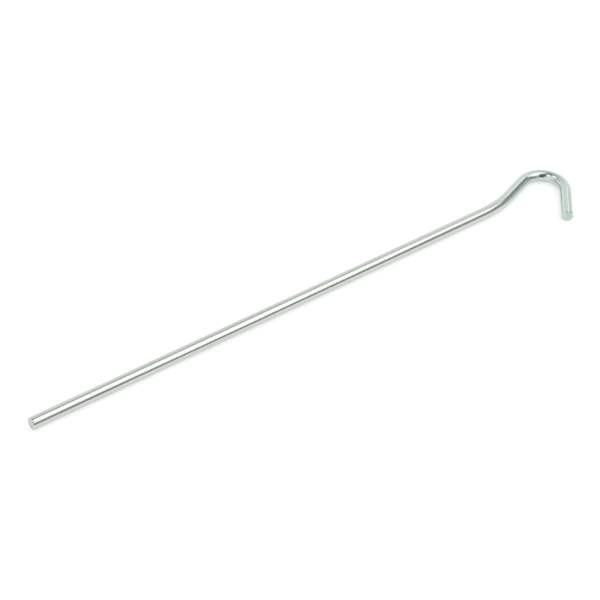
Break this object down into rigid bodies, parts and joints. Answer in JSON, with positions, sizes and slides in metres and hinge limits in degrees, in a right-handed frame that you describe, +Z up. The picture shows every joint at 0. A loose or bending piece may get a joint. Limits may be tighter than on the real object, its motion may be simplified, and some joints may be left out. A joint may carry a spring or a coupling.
{
  "type": "tent stake",
  "caption": "Round steel wire tent stake with a straight shank, a slight sideways set below the top and an open hook for a guy line.",
  "frame": {"origin": "centre of the cut face at the ground end, on the shank's axis, with the stake lying flat", "axes": "+X up the shank towards the hook, +Z up and square to the plane of the bends, hook mouth opening towards -Y"},
  "size_m": [0.1979, 0.0252, 0.004],
  "materials": {
    "zinc_plated_steel": "bright drawn wire under a thin clear-passivated zinc plating, slightly green-grey, with fine lengthwise drawing lines"
  },
  "bodies": {
    "root": {"bent_wire": "zinc_plated_steel"}
  },
  "joints": []
}
